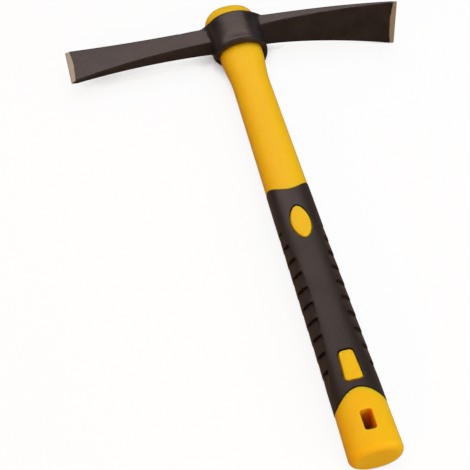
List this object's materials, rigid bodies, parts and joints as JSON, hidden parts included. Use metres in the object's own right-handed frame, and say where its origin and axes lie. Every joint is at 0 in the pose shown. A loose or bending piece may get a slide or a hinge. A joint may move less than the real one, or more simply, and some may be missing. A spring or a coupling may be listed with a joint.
{
  "type": "mattock",
  "caption": "Short mattock: forged head with a cutter blade and a drooping adze blade round an oval eye, on a fibreglass handle with a jacket, stepped soft grip and hang slot.",
  "frame": {"origin": "centre of the flat butt end face of the handle", "axes": "+Y along the handle from the butt to the head, +X along the head towards the adze blade (cutter at -X), +Z square to the broad face of the handle"},
  "size_m": [0.2446, 0.38, 0.0424],
  "materials": {
    "head_paint": "satin dark paint over forged steel, ground bare at both edges",
    "fibreglass": "pultruded rod",
    "yellow_plastic": "moulded, satin gloss",
    "black_rubber": "moulded soft rubber, matt",
    "resin": "cast"
  },
  "bodies": {
    "root": {"head": "head_paint", "fibreglass_core": "fibreglass", "handle_jacket": "yellow_plastic", "grip_sleeve": "black_rubber", "bond_sleeve": "resin", "eye_cap": "yellow_plastic"}
  },
  "joints": []
}
